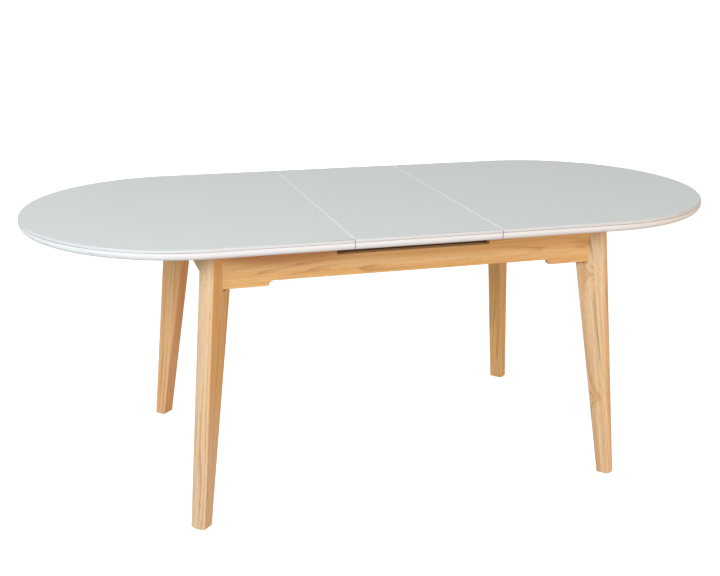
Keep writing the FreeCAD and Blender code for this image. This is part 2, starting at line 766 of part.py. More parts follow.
def arm_spacers(face_name, pivot):
    """Sleeves that keep a pair of arms off the pivot plates."""
    sleeves = []
    for side_name, side in SIDES.items():
        start = f"{ARM_PLACE} + arm_thickness"
        length = f"{RAIL_FACE} - plate_thickness - run_clearance - ({start})"
        low_x, high_x = span(side, start, f"{start} + {length}")
        wall = cylinder(f"{face_name}_sleeve_{side_name}", "journal_radius + spacer_wall", length)
        bore = cylinder(f"{face_name}_sleeve_bore_{side_name}", "journal_radius + journal_clearance", length)
        for item in (wall, bore):
            along_x(item, low_x, pivot, PIVOT_HEIGHT)
        sleeves.append(cut(f"{face_name}_spacer_{side_name}", wall, bore))
    node(joined("Compound", f"{face_name}_spacer_group", sleeves), f"{face_name}_arm_spacers")


def leaf_lugs():
    """Four angle lugs under the leaf, each with the pin that an arm carries."""
    lugs = []
    pins = []
    pin_height = f"{UNDERSIDE} - lug_drop"
    for side_name, side in SIDES.items():
        for face_name, middle in (("front", f"-1 * {LUG_PLACE}"), ("rear", "-1 * rear_lug_inset")):
            name = f"{face_name}_{side_name}"
            low_y = f"{middle} - lug_width / 2"
            high_y = f"{middle} + lug_width / 2"
            inner_x, outer_x = span(side, f"{LUG_OUTER} - lug_flange", LUG_OUTER)
            flange = box(f"flange_{name}", (inner_x, low_y, f"{UNDERSIDE} - flange_thickness"),
                         (outer_x, high_y, UNDERSIDE))
            low_x, high_x = span(side, f"{LUG_OUTER} - lug_thickness", LUG_OUTER)
            tongue = box(f"tongue_{name}", (low_x, low_y, pin_height), (high_x, high_y, UNDERSIDE))
            rounding = cylinder(f"rounding_{name}", "lug_width / 2", "lug_thickness")
            along_x(rounding, low_x, middle, pin_height)
            bore = cylinder(f"lug_bore_{name}", "pin_radius + journal_clearance", "lug_thickness")
            along_x(bore, low_x, middle, pin_height)
            angle = joined("MultiFuse", f"angle_{name}", [flange, tongue, rounding])
            lugs.append(cut(f"lug_{name}", angle, bore))
            head_near = f"{ARM_PLACE} + arm_thickness + run_clearance"
            stem_x, _ = span(side, f"{LUG_OUTER} - lug_thickness", head_near)
            stem = cylinder(f"stem_{name}", "pin_radius", f"{head_near} - ({LUG_OUTER} - lug_thickness)")
            along_x(stem, stem_x, middle, pin_height)
            head_x, _ = span(side, head_near, f"{head_near} + pin_head")
            head = cylinder(f"head_{name}", "pin_head_radius", "pin_head")
            along_x(head, head_x, middle, pin_height)
            pins.append(joined("MultiFuse", f"pin_{name}", [stem, head]))
    node(joined("Compound", "lug_group", lugs), "leaf_lugs")
    node(joined("Compound", "pin_group", pins), "lug_pins")


def hinge_tongue(name, middle, slack):
    """A curved tongue about the fold line, kept below the top face."""
    thickness = f"(tongue_thickness + 2 * {slack})"
    disc = cylinder(f"{name}_disc", f"tongue_radius + {slack}", thickness)
    start = f"{middle} - {thickness} / 2"
    along_x(disc, start, "0", FOLD_AXIS)
    low = (start, "-1 * fold_gap", f"{FOLD_AXIS} - tongue_radius - {slack} - fold_gap")
    high = (f"{start} + {thickness}", f"tongue_radius + {slack} + fold_gap",
            f"table_height - tongue_cover + {slack}")
    return joined("MultiCommon", name, [disc, box(f"{name}_limit", low, high)])


def hinge_cups(face_name):
    """Three concealed hinges along the fold: tongues in front, curved tracks behind."""
    cups = []
    side = FACES[face_name]
    crest = "table_height - hinge_cover"
    for number, step in enumerate((-1, 0, 1), start=1):
        name = f"{face_name}_hinge_{number}"
        middle = f"{step} * hinge_spacing"
        low_y, high_y = span(side, "fold_gap / 2", "fold_gap / 2 + hinge_depth")
        cup = box(f"{name}_cup", (f"{middle} - hinge_width / 2", low_y, f"{crest} - hinge_height"),
                  (f"{middle} + hinge_width / 2", high_y, crest))
        if side < 0:
            cups.append(joined("MultiFuse", name, [cup, hinge_tongue(f"{name}_tongue", middle, "0")]))
        else:
            cups.append(cut(name, cup, hinge_tongue(f"{name}_track", middle, "run_clearance")))
    node(joined("Compound", f"{face_name}_hinge_group", cups), f"{face_name}_hinge_cups")


def build():
    long_apron("front_apron", 0)
    long_apron("rear_apron", 180)
    end_apron("right_apron", 0)
    end_apron("left_apron", 180)
    for corner in CORNERS:
        leg(corner)
        corner_block(corner)
    hanger_bolts()
    foot_glides()
    runner("runner_front", 0)
    runner("runner_rear", 180)
    for side_name, side in SIDES.items():
        cross_rail(side_name)
        pivot_plate(side_name)
        top_panel(f"{side_name}_top_panel", side)
        for face_name in FACES:
            slider(side_name, face_name)
    pivots = {"front": (FRONT_PIVOT, "journal_clearance"), "rear": (REAR_PIVOT, "open_clearance")}
    for face_name, (pivot, clearance) in pivots.items():
        swing_shaft(face_name, pivot)
        for side_name in SIDES:
            swing_arm(face_name, side_name, pivot, clearance)
        arm_spacers(face_name, pivot)
        leaf_panel(f"leaf_{face_name}_panel", FACES[face_name])
        hinge_cups(face_name)
    leaf_lugs()


def check():
    """Stop if any object failed or any piece has no sound shape."""
    doc.recompute()
    for item in doc.Objects:
        if {"Invalid", "Error"} & set(item.State):
            raise RuntimeError(f"{item.Label} failed: {item.State}")
    for item in NODES:
        if item.Shape.isNull() or not item.Shape.isValid() or not item.Shape.Solids:
            raise RuntimeError(f"{item.Label} has no sound shape")


build()
check()
os.makedirs("parts", exist_ok=True)
for piece in NODES:
    piece.Shape.exportStep(f"parts/{piece.Label}.step")
    print(piece.Label, len(piece.Shape.Solids), round(piece.Shape.Volume))
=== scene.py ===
import json
import math

import bpy
from mathutils import Matrix, Vector


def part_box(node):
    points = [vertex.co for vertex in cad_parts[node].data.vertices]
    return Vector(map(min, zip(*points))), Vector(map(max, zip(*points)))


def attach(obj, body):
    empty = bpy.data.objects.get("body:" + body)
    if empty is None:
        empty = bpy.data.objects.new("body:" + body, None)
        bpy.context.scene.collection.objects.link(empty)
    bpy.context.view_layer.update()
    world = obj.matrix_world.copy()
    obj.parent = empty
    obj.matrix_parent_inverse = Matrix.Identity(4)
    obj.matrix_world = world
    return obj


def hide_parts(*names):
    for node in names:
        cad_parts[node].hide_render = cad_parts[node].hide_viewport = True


# Oval dining table with a white lacquered top, a light wood frame and a middle leaf that folds away.
# Metres; X along the length, front at -Y, +Z up, origin on the floor under the centre.

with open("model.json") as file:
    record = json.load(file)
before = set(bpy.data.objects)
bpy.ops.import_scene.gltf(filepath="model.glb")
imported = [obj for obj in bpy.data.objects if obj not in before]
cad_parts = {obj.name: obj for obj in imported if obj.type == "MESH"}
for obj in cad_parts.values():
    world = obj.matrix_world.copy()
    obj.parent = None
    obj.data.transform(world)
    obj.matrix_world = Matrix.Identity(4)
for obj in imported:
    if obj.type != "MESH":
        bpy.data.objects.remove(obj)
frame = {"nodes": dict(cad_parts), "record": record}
NODES = frame["nodes"]
BODY_OF = {
    node: body
    for body, nodes in frame["record"]["behaviour"]["bodies"].items()
    for node in nodes
}
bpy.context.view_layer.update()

CORNERS = {
    "front_left": (-1, -1),
    "front_right": (1, -1),
    "rear_left": (-1, 1),
    "rear_right": (1, 1),
}
SIDES = {"left": -1, "right": 1}
FACES = ("front", "rear")

# The top: where its half-round ends are centred, their radius, the height of its face and of the
# vein in its edge, and how far the joints beside the leaf are from the middle
END_CENTRE = 0.55
RIM = 0.45
TOP_HEIGHT = 0.773
VEIN_HEIGHT = 0.765
LEAF_EDGE = 0.2


class Wire:
    """A value in a finish's node tree; arithmetic on it adds Math nodes."""

    def __init__(self, finish, socket):
        self.finish = finish
        self.socket = socket

    def maths(self, operation, *values):
        return self.finish.node("ShaderNodeMath", {"operation": operation}, dict(enumerate(values)))

    def __add__(self, other):
        return self.maths("ADD", self, other)

    def __radd__(self, other):
        return self.maths("ADD", other, self)

    def __sub__(self, other):
        return self.maths("SUBTRACT", self, other)

    def __rsub__(self, other):
        return self.maths("SUBTRACT", other, self)

    def __mul__(self, other):
        return self.maths("MULTIPLY", self, other)

    def __rmul__(self, other):
        return self.maths("MULTIPLY", other, self)

    def __truediv__(self, other):
        return self.maths("DIVIDE", self, other)

    def __rtruediv__(self, other):
        return self.maths("DIVIDE", other, self)

    def __pow__(self, other):
        return self.maths("POWER", self, other)

    def size(self):
        return self.maths("ABSOLUTE", self)

    def fraction(self):
        return self.maths("FRACT", self)

    def larger(self, other):
        return self.maths("MAXIMUM", self, other)

    def smaller(self, other):
        return self.maths("MINIMUM", self, other)

    def ramp(self, low, high):
        """0 below low and 1 above high, easing between."""
        return self.finish.node(
            "ShaderNodeMapRange",
            {"interpolation_type": "SMOOTHSTEP"},
            {"Value": self, "From Min": low, "From Max": high},
        )

    def fade(self, low, high):
        """1 below low and 0 above high, easing between."""
        return 1 - self.ramp(low, high)


class Finish:
    """One material, or the world, whose nodes are added one at a time."""

    def __init__(self, owner):
        self.owner = owner
        owner.use_nodes = True
        self.tree = owner.node_tree

    def feed(self, socket, value):
        if isinstance(value, Wire):
            self.tree.links.new(value.socket, socket)
        else:
            socket.default_value = value

    def node(self, kind, settings=None, sockets=None, output=0):
        """Add a node: its settings first, then the values or links of its sockets."""
        item = self.tree.nodes.new(kind)
        for name, value in (settings or {}).items():
            setattr(item, name, value)
        for key, value in (sockets or {}).items():
            self.feed(item.inputs[key], value)
        return Wire(self, item.outputs[output]) if item.outputs else None

    def surface(self, sockets):
        """Set the main shader's sockets."""
        shader = self.tree.nodes["Principled BSDF"]
        for name, value in sockets.items():
            self.feed(shader.inputs[name], value)

    def place(self, turn=(0, 0, 0), shift=(0, 0, 0)):
        """Object coordinates, turned and then shifted."""
        here = self.node("ShaderNodeTexCoord", output="Object")
        return self.node("ShaderNodeMapping", None, {"Vector": here, "Location": shift, "Rotation": turn})

    def parts(self, vector):
        split = self.node("ShaderNodeSeparateXYZ", None, {0: vector})
        return [Wire(self, split.socket.node.outputs[number]) for number in range(3)]

    def vectors(self, operation, first, second=(0, 0, 0), output="Vector"):
        sockets = {0: first, 1: second}
        return self.node("ShaderNodeVectorMath", {"operation": operation}, sockets, output)

    def stretched(self, vector, scale):
        return self.vectors("MULTIPLY", vector, scale)

    def noise(self, vector, scale=1.0, detail=2.0, rough=0.5):
        sockets = {"Vector": vector, "Scale": scale, "Detail": detail, "Roughness": rough}
        return self.node("ShaderNodeTexNoise", None, sockets)

    def blend(self, share, first, second):
        """A colour between two others."""
        return self.node("ShaderNodeMix", {"data_type": "RGBA"}, {0: share, 6: first, 7: second}, 2)

    def raised(self, height, distance, strength):
        """A normal from a height, its reach in metres."""
        sockets = {"Height": height, "Distance": distance, "Strength": strength}
        return self.node("ShaderNodeBump", None, sockets)


def shade(red, green, blue):
    """A colour from its 0 to 255 screen values."""
    linear = []
    for part in (red, green, blue):
        part /= 255
        linear.append(part / 12.92 if part <= 0.04045 else ((part + 0.055) / 1.055) ** 2.4)
    return (*linear, 1.0)


def new_finish(name):
    return Finish(bpy.data.materials.new(name))


# Turns that lay the grain along each axis
ALONG_X = (0, -math.pi / 2, 0)
ALONG_Y = (math.pi / 2, 0, 0)
ALONG_Z = (0, 0, 0)

# How far the rings stray from a true circle over long, middling and short stretches of the wood
LONG_STRAY = 0.03
MIDDLING_STRAY = 0.012
SHORT_STRAY = 0.022
# Knots push the rings in full up to the first of these distances from the pith, and not beyond the second
KNOT_REACH = (0.12, 0.20)
# How much the late wood, the streaks, the fibres and the pores darken the wood, and the most they may
LATE_SHARE = 0.75
STREAK_SHARE = 0.8
FIBRE_SHARE = 0.35
PORE_SHARE = 0.4
DARKEST = 0.9
# How much the rosy wood, a dusky patch of figure and painted shade, the heartwood and the dark line round
# that colour the wood
BLUSH_SHARE = 0.6
DUSKY_SHARE = 0.9
HEART_SHARE = 0.4
HEART_LINE_SHARE = 0.6
# How soft the border of a golden side is, how golden the side is at the foot of a leg, and how much of
# their golden bands the other sides keep
GOLDEN_BORDER = 0.0015
GOLDEN_FOOT = 0.3
GOLDEN_REST = 0.4
# How softly the heartwood ends, and how wide the dark line round it is
HEART_BORDER = 0.002
HEART_LINE = 0.004

# Pale, golden and rosy wood, and the brown of its grain
BROWN = shade(150, 98, 58)
HEARTWOOD = shade(200, 142, 94)
APRON_COLOURS = (shade(234, 194, 136), shade(227, 179, 116), shade(229, 180, 124), BROWN)
INNER_COLOURS = (shade(214, 182, 136), shade(205, 168, 120), shade(206, 166, 122), shade(150, 108, 70))
# Runners and sliders are painted dark: painted shade for the deep slot under the top
SHADED_RUNNER_COLOURS = (shade(132, 94, 60), shade(120, 82, 50), shade(122, 80, 52), shade(78, 50, 32))
LEG_COLOURS = {
    "front_left": (shade(230, 198, 160), shade(228, 180, 120), shade(228, 188, 150), BROWN),
    "front_right": (shade(240, 210, 169), shade(235, 192, 142), shade(237, 197, 160), BROWN),
    "rear_left": (shade(241, 191, 137), shade(235, 176, 118), shade(237, 181, 133), BROWN),
    "rear_right": (shade(244, 195, 130), shade(230, 175, 107), shade(237, 183, 124), BROWN),
}


class Grain(Finish):
    """A wood's finish, in coordinates whose third axis runs along the grain."""

    def __init__(self, name, turn, pith):
        super().__init__(bpy.data.materials.new(name))
        self.lie = self.place(turn, pith)
        self.across, self.depth, self.along = self.parts(self.lie)
        self.wander = self.drawn(24, 3.5, 2)

    def drawn(self, across, along, detail=1, rough=0.5):
        """Noise drawn out along the grain, from its scale across the grain and along it."""
        return self.noise(self.stretched(self.lie, (across, across, along)), detail=detail, rough=rough)

    def ring_radius(self, lean, knots):
        """The distance from the pith, less where a knot pushes the rings outwards."""
        side = self.across + self.along * lean[0] + (self.drawn(9, 1.3) - 0.5) * LONG_STRAY
        rise = self.depth + self.along * lean[1] + (self.wander - 0.5) * MIDDLING_STRAY
        radius = (side * side + rise * rise) ** 0.5 + (self.drawn(48, 1.5) - 0.5) * SHORT_STRAY
        for height, push, above, below in knots:
            gap = self.along - height
            away = gap.larger(0.0) / above - gap.smaller(0.0) / below
            radius = radius - radius.fade(*KNOT_REACH) * push / (1 + away) ** 2.0
        return radius

    def late_wood(self, radius, ring):
        """The dark end of each year's ring, plainer in some stretches than in others."""
        year = (radius / ring).fraction()
        shown = self.drawn(34, 2.4).ramp(0.40, 0.66)
        return year.ramp(0.50, 0.95) * year.fade(0.955, 1.0) * (0.15 + shown * 0.85)

    def golden_share(self, direction, start):
        """The side of a leg that lies past start in a direction, weaker towards the foot."""
        reach = self.vectors("DOT_PRODUCT", self.place(), direction, output="Value")
        strength = GOLDEN_FOOT + self.along.ramp(0.06, 0.34) * (1 - GOLDEN_FOOT)
        return reach.ramp(start - GOLDEN_BORDER, start) * strength

    def patch(self, middle, nearness):
        """A patch with a wandering border, 1 in its middle."""
        gap = self.vectors("SUBTRACT", self.place(), middle)
        far = self.vectors("LENGTH", self.stretched(gap, nearness), output="Value")
        return (far + (self.wander - 0.5) * 0.8).fade(0.45, 1.05)


def wood(name, turn, pith, lean, colours, ring, figure, knots=(), heart=0.0, golden_side=None, dusky=None):
    """Clear-finished light wood: rings about a leaning pith, streaks, fibres and short pores.

    pith shifts the piece so that its rings are centred on the origin, in its turned coordinates,
    and lean is how far that centre moves across for each metre along the grain. ring is the width
    of a year's ring, and figure is how strongly the grain shows. Each knot pushes the rings
    outwards: its place along the grain, how far, and over what length above and below. heart is
    the radius of the browner wood at the pith. golden_side is a direction and the distance along
    it at which the wood turns to its deeper tone. dusky is the middle of a browner patch, darker
    figure with painted shade under the top's overhang, and what a metre from it counts for along
    each axis.
    """
    pale, golden, rosy, brown = colours
    grain = Grain(name, turn, pith)
    radius = grain.ring_radius(lean, knots)
    late = grain.late_wood(radius, ring)
    streak = grain.drawn(260, 3.2, 3, 0.55)
    fibre = grain.drawn(760, 11, 3, 0.6)
    pore = grain.drawn(360, 52).ramp(0.60, 0.72)
    warm = grain.drawn(70, 1.1, 2).ramp(0.38, 0.64)
    if golden_side:
        warm = (warm * GOLDEN_REST).larger(grain.golden_share(*golden_side))
    blush = grain.drawn(85, 1.7).ramp(0.50, 0.68)
    ground = grain.blend(warm, grain.blend(blush * BLUSH_SHARE, pale, rosy), golden)
    if dusky:
        ground = grain.blend(grain.patch(*dusky) * DUSKY_SHARE, ground, HEARTWOOD)
    lines = 0.03 + late * LATE_SHARE + (streak - 0.48) * STREAK_SHARE
    lines = lines + (fibre - 0.5) * FIBRE_SHARE + pore * PORE_SHARE
    if heart:
        outside = radius.ramp(heart - HEART_BORDER, heart)
        ground = grain.blend((1 - outside) * HEART_SHARE, ground, HEARTWOOD)
        lines = lines + outside * radius.fade(heart, heart + HEART_LINE) * HEART_LINE_SHARE
    grain.surface({
        "Base Color": grain.blend((lines * figure).larger(0.0).smaller(DARKEST), ground, brown),
        "Roughness": 0.5 + fibre * 0.12,
        "Specular IOR Level": 0.25,
        "Normal": grain.raised(fibre * 0.6 - pore * 0.4, 0.0002, 0.5),
    })
    return grain.owner


LACQUER_WHITES = (shade(230, 232, 231), shade(235, 235, 234))
# After the two whites: a painted highlight for the joints' arrises, and painted shade for the easing, the
# vein and the joints of the edge
ARRIS_HIGHLIGHT = shade(255, 255, 254)
EASING_SHADE = shade(215, 216, 215)
VEIN_SHADE = shade(209, 201, 199)
JOINT_SHADE = shade(160, 155, 154)


def lacquer():
    """White satin lacquer.

    It has painted shade on the easing, in the vein and in the joints of the edge, and a painted
    highlight on the arrises of the joints.
    """
    finish = new_finish("white_lacquer_finish")
    place = finish.place()
    across, depth, height = finish.parts(place)
    ripple = finish.noise(place, 240, detail=1)
    haze = finish.noise(place, 5, detail=2)
    beyond = (across.size() - END_CENTRE).larger(0.0)
    outward = (beyond * beyond + depth * depth) ** 0.5
    joint = (across.size() - LEAF_EDGE).size()
    # Painted highlight: the arrises beside the leaf's joints are painted whiter, for the light their eased
    # edges catch
    arris_highlight = joint.fade(0.0021, 0.0027) * height.ramp(TOP_HEIGHT - 0.0015, TOP_HEIGHT - 0.0008)
    above_vein = height.ramp(VEIN_HEIGHT + 0.0008, VEIN_HEIGHT + 0.0016)
    # Painted shade: the easing band, which faces more upwards, is painted greyer for the less light it gets
    easing = outward.ramp(RIM - 0.0048, RIM - 0.0038) * above_vein
    # Painted shade: the vein's groove is painted darker for the shade that falls in it
    vein = (height - VEIN_HEIGHT).size().fade(0.0005, 0.0013) * outward.ramp(RIM - 0.0045, RIM - 0.0035)
    below_face = height.fade(TOP_HEIGHT - 0.0025, TOP_HEIGHT - 0.0008)
    # Painted shade: the edge beside each joint is painted dark for the shade in the gap between the panels
    joint_shade = joint.fade(0.0009, 0.0013) * outward.ramp(RIM - 0.014, RIM - 0.012) * below_face
    white = finish.blend(haze, *LACQUER_WHITES)
    white = finish.blend(arris_highlight, white, ARRIS_HIGHLIGHT)
    white = finish.blend(easing, white, EASING_SHADE)
    white = finish.blend(vein, white, VEIN_SHADE)
    finish.surface({
        "Base Color": finish.blend(joint_shade, white, JOINT_SHADE),
        "Roughness": 0.30 + haze * 0.08,
        "Normal": finish.raised(ripple, 0.00004, 0.35),
    })
    return finish.owner


def zinc():
    """Zinc-plated steel with a fine rolled grain."""
    finish = new_finish("zinc_steel_finish")
    place = finish.place()
    rolled = finish.noise(finish.stretched(place, (900, 60, 900)), detail=3)
    cloud = finish.noise(place, 60, detail=2)
    finish.surface({
        "Base Color": finish.blend(cloud, shade(188, 190, 192), shade(206, 207, 206)),
        "Metallic": 1.0,
        "Roughness": 0.28 + rolled * 0.18,
    })
    return finish.owner


def nylon():
    """Pale moulded nylon."""
    finish = new_finish("nylon_finish")
    haze = finish.noise(finish.place(), 180, detail=2)
    finish.surface({
        "Base Color": finish.blend(haze, shade(206, 200, 188), shade(214, 209, 198)),
        "Roughness": 0.45 + haze * 0.1,
    })
    return finish.owner


def only(item):
    """Select one object and make it the active one."""
    bpy.ops.object.select_all(action="DESELECT")
    item.select_set(True)
    bpy.context.view_layer.objects.active = item


def apply_modifiers(item):
    only(item)
    for modifier in list(item.modifiers):
        bpy.ops.object.modifier_apply(modifier=modifier.name)


# Edges sharper than the first angle are rounded off, and those below the second are shaded smooth
SHARP_ANGLE = math.radians(40)
SMOOTH_ANGLE = math.radians(32)
# Points closer than this are one, and faces that turn by less than this are one face
MERGE_DISTANCE = 0.000002
FLAT_ANGLE = math.radians(0.5)


def soften(item, width, segments=2):
    """Round off the sharp edges by a small width."""
    bevel = item.modifiers.new("soft_edges", "BEVEL")
    bevel.width = width
    bevel.segments = segments
    bevel.limit_method = "ANGLE"
    bevel.angle_limit = SHARP_ANGLE
    bevel.harden_normals = False
    apply_modifiers(item)


def smooth(item):
    """Smooth the curves and keep the flats flat."""
    only(item)
    bpy.ops.object.shade_smooth_by_angle(angle=SMOOTH_ANGLE)
    weigh = item.modifiers.new("flat_faces", "WEIGHTED_NORMAL")
    weigh.keep_sharp = True
    apply_modifiers(item)


def paint(item, material):
    item.data.materials.clear()
    item.data.materials.append(material)
    for face in item.data.polygons:
        face.material_index = 0


def finished(node, material, edge=0.0):
    """Stand a merged, smoothed copy of a CAD node in its place, its edges softened by edge."""
    piece = bpy.data.objects.new(f"{node}_finished", NODES[node].data.copy())
    bpy.context.collection.objects.link(piece)
    only(piece)
    bpy.ops.object.mode_set(mode="EDIT")
    bpy.ops.mesh.select_all(action="SELECT")
    bpy.ops.mesh.remove_doubles(threshold=MERGE_DISTANCE)
    bpy.ops.mesh.dissolve_limited(angle_limit=FLAT_ANGLE)
    bpy.ops.object.mode_set(mode="OBJECT")
    if edge:
        soften(piece, edge)
    smooth(piece)
    paint(piece, material)
    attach(piece, BODY_OF[node])
    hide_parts(node)


def dress_top():
    white = lacquer()
    for node in ("left_top_panel", "right_top_panel", "leaf_front_panel", "leaf_rear_panel"):
        finished(node, white)


# How each board lies in its tree
APRONS = {
    "front_apron": {"turn": ALONG_X, "pith": (0.66, 0.33, 0.11), "lean": (0.05, 0.06)},
    "rear_apron": {"turn": ALONG_X, "pith": (0.66, -0.30, -0.2), "lean": (-0.04, -0.12)},
    "left_apron": {"turn": ALONG_Y, "pith": (0.55, 0.60, 0.1), "lean": (0.05, 0.1)},
    "right_apron": {"turn": ALONG_Y, "pith": (-0.55, 0.62, 0.3), "lean": (0.04, -0.1)},
}
# A browner patch just below the top at the left: darker figure, and painted shade where the top's overhang
# shades the apron
APRONS["front_apron"]["dusky"] = ((-0.33, -0.336, 0.735), (4.2, 0, 15))
APRON_EDGE = 0.0012
APRON_FIGURE = 0.5
FRAME_RING = 0.012

# How far a leg leans out over each metre of its height, along X and along Y
LEG_LEAN = 0.104
LEG_FIGURE = 0.55
# Two knots that draw out the figure of the front right leg
LEG_KNOTS = ((0.500, 0.038, 0.05, 0.03), (0.13, 0.026, 0.07, 0.016))
# The legs' sides stand at 45 degrees, and a golden one starts this far from the middle of the table,
# measured along the direction that it faces
SLANT = math.sqrt(0.5)
GOLDEN_START = -0.127
LEGS = {
    "front_left": {"pith": (0.70, 0.40, 0.0), "lean": (0.02, 0.03)},
    "front_right": {"pith": (-0.47, 0.37, 0.0), "lean": (0.03, 0.02), "knots": LEG_KNOTS, "heart": 0.1},
    "rear_left": {"pith": (0.69, -0.36, 0.2), "lean": (0.02, -0.03)},
    "rear_right": {"pith": (-0.48, -0.37, 0.1), "lean": (-0.03, -0.02)},
}
LEGS["front_left"]["golden_side"] = ((SLANT, -SLANT, 0), GOLDEN_START)
LEGS["rear_right"]["golden_side"] = ((-SLANT, -SLANT, 0), GOLDEN_START)


def dress_frame():
    for node, lie in APRONS.items():
        board = wood(f"{node}_wood", colours=APRON_COLOURS, ring=FRAME_RING, figure=APRON_FIGURE, **lie)
        finished(node, board, APRON_EDGE)
    for corner, lie in LEGS.items():
        out_x, out_y = CORNERS[corner]
        upright = (-out_y * LEG_LEAN, out_x * LEG_LEAN, 0)
        colours = LEG_COLOURS[corner]
        post = wood(f"leg_{corner}_wood", upright, colours=colours, ring=FRAME_RING, figure=LEG_FIGURE, **lie)
        finished(f"leg_{corner}", post)


INNER_LEAN = (0.02, 0.05)
INNER_RING = 0.008
INNER_FIGURE = 0.35
RUNNER_EDGE = 0.0008
SLIDER_EDGE = 0.0006
RAIL_EDGE = 0.001
BLOCK_EDGE = 0.001


def inner_wood(name, turn, pith, colours):
    return wood(name, turn, pith, INNER_LEAN, colours, INNER_RING, INNER_FIGURE)


def dress_inside():
    # Painted shade: the runners and sliders take dark colours that stand in for the slot's shade
    lengthways_shaded = inner_wood("runner_shaded_wood", ALONG_X, (0.7, 0.2, 0.0), SHADED_RUNNER_COLOURS)
    crossways = inner_wood("rail_wood", ALONG_Y, (0.2, 0.7, 0.0), INNER_COLOURS)
    upright = inner_wood("block_wood", ALONG_Z, (0.4, 0.4, 0.0), INNER_COLOURS)
    for face in FACES:
        finished(f"runner_{face}", lengthways_shaded, RUNNER_EDGE)
        for side in SIDES:
            finished(f"{side}_slider_{face}", lengthways_shaded, SLIDER_EDGE)
    for side in SIDES:
        finished(f"cross_rail_{side}", crossways, RAIL_EDGE)
    for corner in CORNERS:
        finished(f"corner_block_{corner}", upright, BLOCK_EDGE)


def dress_fittings(steel):
    pale = nylon()
    for node in (
        "hanger_bolts", "bolt_nuts", "pivot_plate_left", "pivot_plate_right",
        "front_swing_shaft", "rear_swing_shaft", "front_arm_left", "front_arm_right",
        "rear_arm_left", "rear_arm_right", "leaf_lugs", "lug_pins",
        "front_hinge_cups", "rear_hinge_cups",
    ):
        finished(node, steel)
    for node in ("foot_glides", "front_arm_spacers", "rear_arm_spacers"):
        finished(node, pale)


SCREW_RADIUS = 0.0036
SCREW_HEIGHT = 0.0016
SCREW_ROUNDING = 0.00072
# The cross recess of a screw: its length, width and height as shares of the radius
WING_LENGTH = 1.2
WING_WIDTH = 0.26
WING_HEIGHT = 0.5

# Screws of a lug: from its end, from its side, either side of that, and the thickness of its foot
LUG_SCREW_END = 0.018
LUG_SCREW_SIDE = 0.012
LUG_SCREW_STEP = 0.007
LUG_FOOT = 0.003
# Screws of a pivot plate, either side of its middle
PLATE_SCREW_STEP = 0.04
# Screws of a slider: from the side of its bar and from its outer end
SLIDER_SCREW_SIDE = 0.006
SLIDER_SCREW_ENDS = (0.03, 0.13, 0.23)
# Screws of a corner block: their share of its width from the middle, and above or below it
BLOCK_SCREWS = ((-0.36, -0.016), (-0.36, 0.016), (0.36, -0.016), (0.36, 0.016))

FACE_DOWN = (math.pi, 0, 0)


def screw_head():
    """A round-edged screw head with a cross recess, standing on the origin."""
    bpy.ops.object.select_all(action="DESELECT")
    bpy.ops.mesh.primitive_cylinder_add(
        vertices=32, radius=SCREW_RADIUS, depth=SCREW_HEIGHT, location=(0, 0, SCREW_HEIGHT / 2)
    )
    head = bpy.context.object
    head.name = "screw_head"
    bpy.ops.object.transform_apply(location=True)
    soften(head, SCREW_ROUNDING, 4)
    wings = []
    for length, width in ((WING_LENGTH, WING_WIDTH), (WING_WIDTH, WING_LENGTH)):
        bpy.ops.mesh.primitive_cube_add(
            size=SCREW_RADIUS, location=(0, 0, SCREW_HEIGHT), scale=(length, width, WING_HEIGHT)
        )
        bpy.ops.object.transform_apply(location=True, scale=True)
        wings.append(bpy.context.object)
    for wing in wings:
        recess = head.modifiers.new("recess", "BOOLEAN")
        recess.operation = "DIFFERENCE"
        recess.object = wing
    apply_modifiers(head)
    for wing in wings:
        bpy.data.objects.remove(wing)
    smooth(head)
    return head


def drive(pattern, name, body, place, turn=FACE_DOWN):
    """Stand a copy of a screw head in its place."""
    piece = pattern.copy()
    piece.data = pattern.data.copy()
    piece.name = name
    bpy.context.collection.objects.link(piece)
    piece.location = place
    piece.rotation_euler = turn
    only(piece)
    bpy.ops.object.transform_apply(location=True, rotation=True, scale=False)
    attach(piece, body)


def screw_lugs(head):
    low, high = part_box("leaf_lugs")
    rows = {"front": low.y + LUG_SCREW_SIDE, "rear": high.y - LUG_SCREW_SIDE}
    for side_name, side in SIDES.items():
        for face, middle in rows.items():
            for number, step in enumerate((-LUG_SCREW_STEP, LUG_SCREW_STEP), start=1):
                place = (side * (high.x - LUG_SCREW_END), middle + step, high.z - LUG_FOOT)
                drive(head, f"lug_screw_{face}_{side_name}_{number}", "leaf_front", place)


def screw_plates(head):
    for side_name, side in SIDES.items():
        low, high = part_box(f"pivot_plate_{side_name}")
        middle = (low + high) / 2
        inner = high.x if side < 0 else low.x
        inward = (0, -side * math.pi / 2, 0)
        for number, step in enumerate((-PLATE_SCREW_STEP, PLATE_SCREW_STEP), start=1):
            place = (inner, middle.y + step, middle.z)
            drive(head, f"plate_screw_{side_name}_{number}", "base", place, inward)


def screw_rails(head):
    for side_name in SIDES:
        low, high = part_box(f"cross_rail_{side_name}")
        for face in FACES:
            runner = sum(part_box(f"runner_{face}"), Vector()) / 2
            place = ((low.x + high.x) / 2, runner.y, low.z)
            drive(head, f"rail_screw_{face}_{side_name}", "base", place)


def screw_sliders(head):
    """The bars of the left and the right sliders stand on opposite sides of a runner."""
    for side_name, side in SIDES.items():
        for face in FACES:
            low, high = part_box(f"{side_name}_slider_{face}")
            bar_at_rear = (side < 0) == (face == "rear")
            bar = high.y - SLIDER_SCREW_SIDE if bar_at_rear else low.y + SLIDER_SCREW_SIDE
            end = high.x if side > 0 else low.x
            for number, inward in enumerate(SLIDER_SCREW_ENDS, start=1):
                place = (end - side * inward, bar, low.z)
                drive(head, f"{side_name}_slider_screw_{face}_{number}", f"{side_name}_top", place)


